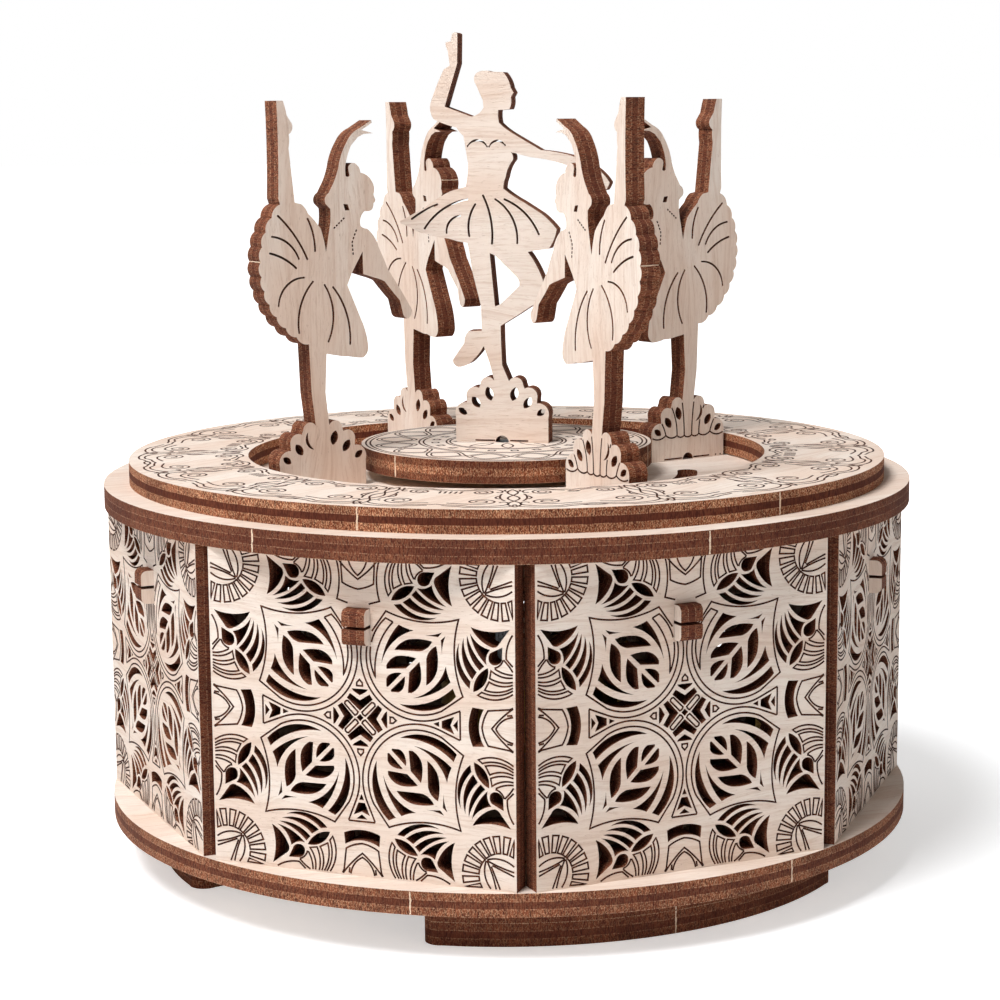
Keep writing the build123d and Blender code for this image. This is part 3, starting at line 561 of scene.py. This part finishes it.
def burntLine(name, look):
    material, tree, shader = newMaterial(name)
    point = scaled(tree, objectPoint(tree), 1 / mm)
    patch = noise(tree, point, look["patch"], 3, 0.6)
    speck = noise(tree, point, 8.0, 2)
    colour = mixed(tree, eased(tree, patch, 0.45, 0.72), look["dark"], look["light"])
    feed(tree, shader.inputs["Base Color"], mixed(tree, eased(tree, speck, 0.55, 0.7), colour, look["ash"]))
    feed(tree, shader.inputs["Roughness"], eased(tree, patch, 0.3, 0.7, 0.75, 0.9))
    shader.inputs["Specular IOR Level"].default_value = 0.2
    bumped(tree, shader, speck, 0.02 * mm)
    return material


# lattice panels: drawn from the panel's middle, x right and y up
shield = {"at": 8.95, "inner": 7.85, "outer": 8.7}
sunburst = {
    "at": 21.2, "from": 3.45, "to": 5.9, "thin": 0.3, "wide": 0.48, "turns": (7.2, 21.8, 36.8, 53.0, 69.5),
}
starFrame = {"from": 0.55, "to": 2.08, "half": 0.25}      # slim frame on the diagonal of the star
panelLines = {
    "width": 0.26, "edge": 23.0,
    # the y > x half of a quarter: long petals beside each fan, and the sill under it
    "petals": [
        [(5.1, 23.0, 0.72), (4.6, 17.8, 0), (5.05, 18.4, -0.55), (5.6, 23.0, 0)],
        [(6.0, 23.0, 0.45), (5.4, 18.85, 0), (6.6, 19.5, -0.4), (6.4, 23.0, 0)],
        [(6.8, 23.0, 0.3), (7.1, 19.6, 0), (8.2, 19.8, -0.35), (7.4, 23.0, 0)],
        [(8.5, 20.35, -0.2), (7.8, 23.0, 0)],
        [(8.6, 20.3, -0.25), (9.85, 21.6, 0)],
        [(9.85, 21.65, 0.08), (8.2, 23.0, 0)],
        [(8.95, 23.0, 0), (9.95, 22.05, 0.3), (13.4, 23.0, 0)],
    ],
    "medallion": [(5.25, 14.1, 0), (4.15, 14.6, 1.5), (2.45, 6.0, -0.95)],
    # an arm's end beyond its dark bar, mirrored left and right
    "armEnd": [
        [(0, 18.4, 0.15), (2.5, 19.3, 0), (2.9, 22.5, 0), (3.15, 23.0, 0)],
        [(0, 19.85, 0.15), (3.05, 23.0, 0)],
        [(0, 20.45, 0.4), (1.85, 23.0, 0)],
        [(2.0, 22.1, 0), (2.1, 22.9, 0)],
    ],
    "topEnd": [
        [(1.6, 16.4, 0), (3.25, 16.9, -0.45), (3.35, 22.9, 0)],
        [(0, 18.45, 0.12), (2.4, 19.3, 0), (2.6, 22.9, 0)],
        [(0, 19.85, 0.15), (3.0, 22.6, 0)],
        [(0, 20.4, 0.3), (1.45, 22.9, 0)],
    ],
    "sill": plain((-2.05, 15.15), (2.05, 15.15)),
    "pip": plain((-0.44, 4.6), (0.44, 4.6), (0.42, 5.05), (0, 5.5), (-0.42, 5.05)),
    # the corner's pointed arch, its y < x half
    "arch": [
        [(19.0, 18.85, 0.55), (23.0, 19.5, 0)],
        [(18.95, 18.95, -0.12), (23.0, 20.3, 0)],
        [(19.75, 19.6, 0), (23.0, 20.9, 0)],
    ],
}


def quarterStrokes(above):
    at, inner, outer = shield["at"], shield["inner"], shield["outer"]
    strokes = []
    # shield round the leaf: most of a circle, then four pointed corners
    rounded = arc(at, at, inner, 154, 296)
    crown = curve([(15.6, 4.2, -0.95), (15.1, 15.1, -0.95), (4.2, 15.6, 0)])
    strokes.append((rounded + crown, True))
    if above:
        strokes.append((arc(at, at, outer, 169.7, 292) + [(15.2, 2.15)], False))
    else:
        strokes.append(([(2.05, 15.1)] + arc(at, at, outer, 158, 292) + [(15.1, 2.05)], False))
    a, b, w = (starFrame[k] for k in ("from", "to", "half"))
    slim = [(a + w, a - w, 0), (b + w, b - w, 0.18), (b - w, b + w, 0), (a - w, a + w, 0.1)]
    strokes.append((curve(slim, True), True))
    burst = sunburst
    for side in (1, -1):
        for turn in burst["turns"]:
            angle = math.radians(225 + side * turn)
            c, s = math.cos(angle), math.sin(angle)
            near, far, thin, wide = (burst[k] for k in ("from", "to", "thin", "wide"))
            ends = ((near, -thin), (far, -wide), (far, wide), (near, thin))
            block = [(burst["at"] + r * c - t * s, burst["at"] + r * s + t * c) for r, t in ends]
            if min(max(p) for p in block) < panelLines["edge"] - 0.2:      # cut off at the panel's edge
                strokes.append(([tuple(min(c, panelLines["edge"]) for c in p) for p in block], True))
    for points in panelLines["arch"]:
        half = curve(points)
        strokes += [(half, False), ([(y, x) for x, y in half], False)]
    return strokes


def mirrored(points, across, up, lying=False):
    return [(across * y, up * x) if lying else (across * x, up * y) for x, y in points]


def panelStrokes():
    strokes = []
    for across in (1, -1):
        for up in (1, -1):
            strokes += [(mirrored(points, across, up), closed) for points, closed in quarterStrokes(up > 0)]
            for lying in (False, True):
                eighth = [(curve(p), False) for p in panelLines["petals"]]
                if up > 0 and not lying:
                    eighth.append((curve(panelLines["medallion"], True), True))
                strokes += [(mirrored(points, across, up, lying), closed) for points, closed in eighth]
    for quarter in range(4):
        c, s = ((1, 0), (0, 1), (-1, 0), (0, -1))[quarter]
        ends = panelLines["topEnd"] if quarter == 0 else panelLines["armEnd"]
        arm = []
        for points in ends:
            half = curve(points)
            if points[0][0] == 0:      # both halves meet on the middle line
                arm.append(([(-x, y) for x, y in reversed(half)] + half[1:], False))
            else:
                arm += [(half, False), ([(-x, y) for x, y in half], False)]
        if quarter:
            arm.append((curve(panelLines["sill"]), False))
        arm.append((curve(panelLines["pip"], True), True))
        strokes += [([(x * c - y * s, x * s + y * c) for x, y in points], closed) for points, closed in arm]
    return strokes


def engravePanels(material):
    strokes = panelStrokes()
    for number in range(1, 9):
        name = "lattice_panel_%d" % number
        low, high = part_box(name)
        run, normal = sheetFacing(name)
        middle = Vector(((low.x + high.x) / 2, (low.y + high.y) / 2, 0))
        if normal.dot(middle) < 0:
            normal = -normal
        run = Vector((0, 0, 1)).cross(normal)
        face = reachAlong(name, normal)[1]
        centre = normal * face + Vector((0, 0, (low.z + high.z) / 2))

        def place(x, y, lift, centre=centre, run=run, normal=normal):
            return centre + run * x * mm + Vector((0, 0, y * mm)) + normal * lift * mm
        if number == 1:
            strokes = onWood(strokes, name, place, panelLines["width"])
        title = "panelEngraving%d" % number
        mesh = strokeMesh(title, strokes, panelLines["width"], place)
        addPiece(title, mesh, material, bodyOf[name], slotOf[name])
    print("panels engraved:", len(strokes), "lines each")


# ring: frames with four scrolls each and a chain between them, x along the ring and y its radius
ringLines = {
    "width": 0.3, "first": -113.5, "frames": 16, "middle": 51.0,
    "scrolls": [   # middle along and outward, first and last radius, turns, where it starts, lead-in points
        {"at": (5.45, 53.7), "from": 2.35, "to": 0.5, "turns": 1.8, "start": 90,
         "lead": [(1.2, 55.2), (2.6, 55.6), (4.0, 56.0)]},
        {"at": (5.1, 45.3), "from": 2.0, "to": 0.45, "turns": 1.8, "start": -90,
         "lead": [(1.3, 44.4), (2.6, 43.9), (3.9, 43.4)]},
    ],
    "mirrored": [
        [(0.0, 56.4, -0.1), (2.7, 56.9, 0.1), (4.2, 57.8, -0.6), (8.6, 56.9, -0.5), (8.9, 54.2, -0.35),
         (8.1, 54.7, 0)],
        [(0.9, 57.5, 0), (2.3, 57.9, 0.1), (3.9, 58.7, -0.5), (9.2, 58.2, -0.2), (9.9, 56.4, 0)],
        [(0.0, 43.9, 0.1), (2.6, 43.2, -0.1), (4.0, 42.5, 0.4), (7.7, 43.2, 0.4), (8.2, 45.5, 0.3),
         (7.5, 45.2, 0)],
        [(8.8, 53.2, 0.5), (8.3, 46.8, 0)],
        [(8.1, 51.4, 0.35), (7.5, 49.6, 0.1), (8.0, 48.6, 0)],
        [(9.1, 44.6, 0.3), (8.9, 43.0, 0)],
    ],
    "flutes": (-1.8, -0.9, 0.0, 0.9, 1.8),
    "lens": [(-1.7, 57.7, -0.5), (1.7, 57.7, -0.45)], "bud": [(-0.9, 45.2, -0.5), (0.9, 45.2, -0.5)],
    "chain": {"from": 42.7, "to": 58.6, "bulge": 0.85, "links": 3, "steps": 40},
}


def scrollPoints(scroll, side):
    # a flattened spiral that winds inwards, after its lead-in
    x, y = scroll["at"]
    points = list(scroll["lead"])
    way = -1 if scroll["start"] > 0 else 1
    count = int(28 * scroll["turns"])
    for n in range(count + 1):
        share = n / count
        radius = scroll["from"] + (scroll["to"] - scroll["from"]) * share ** 0.8
        angle = math.radians(scroll["start"] + way * 360 * scroll["turns"] * share)
        points.append((x + radius * math.cos(angle), y + radius * math.sin(angle)))
    return [(side * x, y) for x, y in points]


def ringStrokes(setup):
    flat = []
    step = 360 / setup["frames"]
    half = math.radians(step / 2) * setup["middle"]
    for number in range(setup["frames"]):
        local = []
        for side in (1, -1):
            local += [(scrollPoints(scroll, side), False) for scroll in setup["scrolls"]]
            local += [([(side * x, y) for x, y in curve(points)], False) for points in setup["mirrored"]]
        if number % 2:
            local += [([(x, 44.8), (x * 0.92, 46.6)], False) for x in setup["flutes"]]
        else:
            local += [(curve(setup[shape], True), True) for shape in ("lens", "bud")]
        chain = setup["chain"]
        low, high, steps = chain["from"], chain["to"], chain["steps"]
        for side in (1, -1):
            strand = []
            for n in range(steps + 1):
                swing = chain["bulge"] * math.sin(math.pi * chain["links"] * n / steps)
                strand.append((half + side * swing, low + (high - low) * n / steps))
            local.append((strand, False))
        start = math.radians(setup["first"] + step * (number + 0.5))
        for points, closed in local:
            placed = [(r, start + x / setup["middle"]) for x, r in points]
            flat.append(([(r * math.cos(a), r * math.sin(a)) for r, a in placed], closed))
    return flat


turntableLines = {
    "width": 0.28, "circles": (22.7, 22.0, 14.1, 13.4, 9.7, 9.1), "cells": 16,
    "wave": {"middle": 18.05, "rise": 3.3, "inside": 2.55, "steps": 12, "clear": 0.12},
    "tiles": {"at": 11.5, "half": 0.5, "count": 20},
    "leaves": {"from": 3.0, "to": 8.5, "bow": 0.9, "count": 8},
}


def turntableStrokes(setup):
    strokes = [(arc(0, 0, radius, 0, 360, 0.9)[:-1], True) for radius in setup["circles"]]
    wave, cells = setup["wave"], setup["cells"]
    steps, clear = wave["steps"], wave["clear"]
    # two waves that cross make a chain of lens-shaped cells, each with a smaller lens inside
    for side in (1, -1):
        ring = []
        for n in range(cells * steps):
            a = 2 * math.pi * n / (cells * steps)
            r = wave["middle"] + side * wave["rise"] * math.sin(a * cells / 2)
            ring.append((r * math.cos(a), r * math.sin(a)))
        strokes.append((ring, True))
    for cell in range(cells):
        lens = []
        for side in (1, -1):
            for n in range(steps):
                share = n / steps if side > 0 else 1 - n / steps
                a = 2 * math.pi * (cell + clear + (1 - 2 * clear) * share) / cells
                r = wave["middle"] + side * wave["inside"] * math.sin(math.pi * share)
                lens.append((r * math.cos(a), r * math.sin(a)))
        strokes.append((lens, True))
    tiles = setup["tiles"]
    for n in range(tiles["count"]):
        a, t = 2 * math.pi * n / tiles["count"], tiles["half"]
        c, s = math.cos(a), math.sin(a)
        square = [(tiles["at"] + x, y) for x, y in ((-t, -t), (t, -t), (t, t), (-t, t))]
        strokes.append(([(x * c - y * s, x * s + y * c) for x, y in square], True))
    leaves = setup["leaves"]
    for n in range(leaves["count"]):
        a = 2 * math.pi * (n + 0.5) / leaves["count"]
        c, s = math.cos(a), math.sin(a)
        leaf = curve([(leaves["from"], 0, leaves["bow"]), (leaves["to"], 0, leaves["bow"])], True)
        strokes.append(([(x * c - y * s, x * s + y * c) for x, y in leaf], True))
    return strokes


def engraveDiscs(material):
    discs = (("scroll_ring", "ringEngraving", ringStrokes(ringLines), ringLines["width"]),
             ("turntable", "turntableEngraving", turntableStrokes(turntableLines), turntableLines["width"]))
    for host, name, strokes, width in discs:
        top = levelsOf(host)[1]

        def place(x, y, lift):
            return Vector((x * mm, y * mm, top + lift * mm))
        mesh = strokeMesh(name, onWood(strokes, host, place, width), width, place)
        addPiece(name, mesh, material, bodyOf[host], slotOf[host])
        print(name, len(strokes), "lines")


# dancers: x sideways and y up from the disc under them
figureLines = {
    "width": 0.24,
    "petals": [   # mirrored about the middle of the base
        [(5.85, 6.75, 0.12), (4.75, 4.35, 0)], [(4.75, 4.35, 0.5), (7.75, 4.15, 0)],
        [(3.6, 9.1, 0.35), (2.35, 4.15, 0)], [(2.35, 4.15, 0.42), (4.75, 4.35, 0)],
        [(1.25, 9.6, 0.1), (0.8, 4.05, 0)], [(0.8, 4.05, 0.3), (2.35, 4.15, 0)],
    ],
    "keel": [(-0.8, 4.05, 0.3), (0.8, 4.05, 0)],
    "strap": [(-2.3, 40.2), (-4.4, 41.9)], "strapStitches": 5,
    "sleeve": [(-6.4, 39.9), (-5.55, 38.0), (-5.75, 35.8)], "sleeveStitches": 7,
    "skirting": (-4.7, 5.0, 0.3), "dots": (6.3, 7.3), "dotLength": 0.25,
    "shift": {"centre": -0.3, "side": 0.35},      # x of the base's own middle
}


def dashes(points, count, share=0.62):
    # short strokes spread evenly along a bent line
    spans = [math.dist(a, b) for a, b in zip(points, points[1:])]
    total = sum(spans)

    def at(run):
        for (a, b), span in zip(zip(points, points[1:]), spans):
            if run <= span or b is points[-1]:
                part = run / span
                return (a[0] + (b[0] - a[0]) * part, a[1] + (b[1] - a[1]) * part)
            run -= span
    pitch = total / count
    return [([at(n * pitch), at(n * pitch + pitch * share)], False) for n in range(count)]


def figurePlane(name):
    # side direction, engraved face's normal, and the point on the disc from which the figure is drawn
    run, normal = sheetFacing(name)
    mesh = nodes[name].data
    ground = levelsOf("turntable" if name == "centre_dancer" else "platter")[1]
    foot = [v.co for v in mesh.vertices if abs(v.co.z - ground) < 0.02 * mm]
    shift = figureLines["shift"][name.split("_")[0]]
    if name == "centre_dancer":
        flip = run.dot(max((v.co for v in mesh.vertices), key=lambda p: p.z)) > 0      # raised arm at -x
    else:
        flip = run.dot(sum(foot, Vector()) / len(foot)) < 0      # raised leg on the outer side
    run = -run if flip else run
    normal = Vector((run.y, -run.x, 0))
    reach = [p.dot(run) for p in foot]
    low, high = reachAlong(name, normal)
    middle = (min(reach) + max(reach)) / 2 - shift * mm
    origin = run * middle + normal * (low + high) / 2 + Vector((0, 0, ground))
    return run, normal, origin, (high - low) / 2, shift


def figureStrokes(setup, name, shift):
    left, right, rise = setup["skirting"]
    if name == "centre_dancer":
        return [([(left, rise), (right - 1, rise)], False)], []
    strokes = []
    for side in (1, -1):
        strokes += [([(side * x + shift, y) for x, y in curve(points)], False) for points in setup["petals"]]
    strokes.append(([(x + shift, y) for x, y in curve(setup["keel"])], False))
    strokes.append(([(left, rise), (right, rise)], False))
    strokes += [([(x, rise), (x + setup["dotLength"], rise)], False) for x in setup["dots"]]
    stitches = dashes(setup["strap"], setup["strapStitches"]) + dashes(setup["sleeve"], setup["sleeveStitches"])
    return strokes + stitches, stitches


def engraveDancers(material):
    width = figureLines["width"]
    for name in sorted(n for n in nodes if "dancer" in n):
        run, normal, origin, half, shift = figurePlane(name)
        strokes, stitches = figureStrokes(figureLines, name, shift)
        sides = [("Engraving", strokes, normal)]
        if stitches:
            sides.append(("Stitches", stitches, -normal))
        for ending, drawn, facing in sides:
            def place(x, y, lift):
                return origin + run * x * mm + Vector((0, 0, y * mm)) + facing * (half + lift * mm)
            title = titled(name) + ending
            mesh = strokeMesh(title, onWood(drawn, name, place, width), width, place)
            addPiece(title, mesh, material, bodyOf[name], slotOf[name])
    print("dancers engraved")


# bridge marks: pale slivers where a piece was snapped out of its sheet
bridgeLook = {"pale": tint(240, 214, 186), "grey": tint(196, 164, 138)}
roundBridges = {   # directions in degrees round the axis
    "top_plate": (-148.35, -88.75, 22, 104), "scroll_ring": (-134.75, -74.3, 31, 128),
    "turntable": (-162.4, -40, 84), "base_plate": (-127.1, -75.15, 8, 95),
    "foot_front_upper": (-89.5,), "foot_front_lower": (-89.5,),
}
figureBridges = {   # x, y, and the way into the wood
    "centre": ((20, 24.3, -1), (-20, 56.0, 1)), "side": ((22, 35.6, -1), (-18, 46.5, 1)),
}
bridgeSize = {"wide": 0.3, "proud": 0.012, "sunk": 0.08, "steps": 9}


def bridgeMaterial(look):
    material, tree, shader = newMaterial("snappedWood")
    point = scaled(tree, objectPoint(tree), 1 / mm)
    fibre = noise(tree, scaled(tree, point, 6), 1.0, 3)
    tone = mixed(tree, eased(tree, fibre, 0.5, 0.7), look["pale"], look["grey"])
    feed(tree, shader.inputs["Base Color"], tone)
    feed(tree, shader.inputs["Roughness"], eased(tree, fibre, 0.3, 0.7, 0.6, 0.8))
    bumped(tree, shader, fibre, 0.05 * mm)
    return material


def sliver(host, start, across, aim, size, seed):
    # a ragged strip over an edge: start and across give the line on the edge, aim points into the wood
    tree = BVHTree.FromObject(host, bpy.context.evaluated_depsgraph_get())
    luck = random.Random(seed)
    sideways = across.normalized().cross(aim).normalized()
    rows = []
    for n in range(size["steps"]):
        spot = start + across * (0.03 + 0.94 * n / (size["steps"] - 1))
        hit = tree.ray_cast(spot - aim * 0.01, aim)[0]
        if hit is None:
            continue
        half = size["wide"] / 2 * luck.uniform(0.45, 1.15) * mm
        shift = luck.uniform(-0.05, 0.05) * mm
        front = hit - aim * size["proud"] * luck.uniform(0.6, 1.0) * mm
        back = hit + aim * size["sunk"] * mm
        rows.append([front + sideways * (shift - half), front + sideways * (shift + half),
                     back + sideways * (shift + half), back + sideways * (shift - half)])
    return rows


def addBridges(material):
    seed = 0
    strips = {}
    for host, turns in roundBridges.items():
        low, high = levelsOf(host)
        rise = Vector((0, 0, high - low))
        for turn in turns:
            a = math.radians(turn)
            out = Vector((math.cos(a), math.sin(a), 0))
            seed += 1
            start = out * outerRadius("base_plate") + Vector((0, 0, low))
            strips.setdefault(host, []).append(sliver(nodes[host], start, rise, -out, bridgeSize, seed))
    for name in sorted(n for n in nodes if "dancer" in n):
        run, normal, origin, half, _ = figurePlane(name)
        through = normal * 2 * half
        for x, y, way in figureBridges[name.split("_")[0]]:
            seed += 1
            start = origin + run * x * mm + Vector((0, 0, y * mm)) - normal * half
            strips.setdefault(name, []).append(sliver(nodes[name], start, through, run * way, bridgeSize, seed))
    for host, ribbons in strips.items():
        corners, faces = [], []
        for rows in ribbons:
            if len(rows) < 2:
                continue
            first = len(corners)
            for row in rows:
                corners += row
            for n in range(len(rows) - 1):
                a, b = first + 4 * n, first + 4 * n + 4
                faces += [(a + k, a + (k + 1) % 4, b + (k + 1) % 4, b + k) for k in range(4)]
            last = first + 4 * (len(rows) - 1)
            faces += [(first + 3, first + 2, first + 1, first), (last, last + 1, last + 2, last + 3)]
        addPiece(titled(host) + "BridgeMarks", meshOf("bridgeMarks", corners, faces), material,
                 bodyOf[host], slotOf[host])
    print("bridge marks on", len(strips), "pieces")


makeCamera(cameraSetup)
makeStudio(studio)
print("camera and studio ready")
dressSheets()
dressHardware()
print("materials made:", len(bpy.data.materials))
burnt = burntLine("burntEngraving", burnLook)
engravePanels(burnt)
engraveDiscs(burnt)
engraveDancers(burnt)
addBridges(bridgeMaterial(bridgeLook))
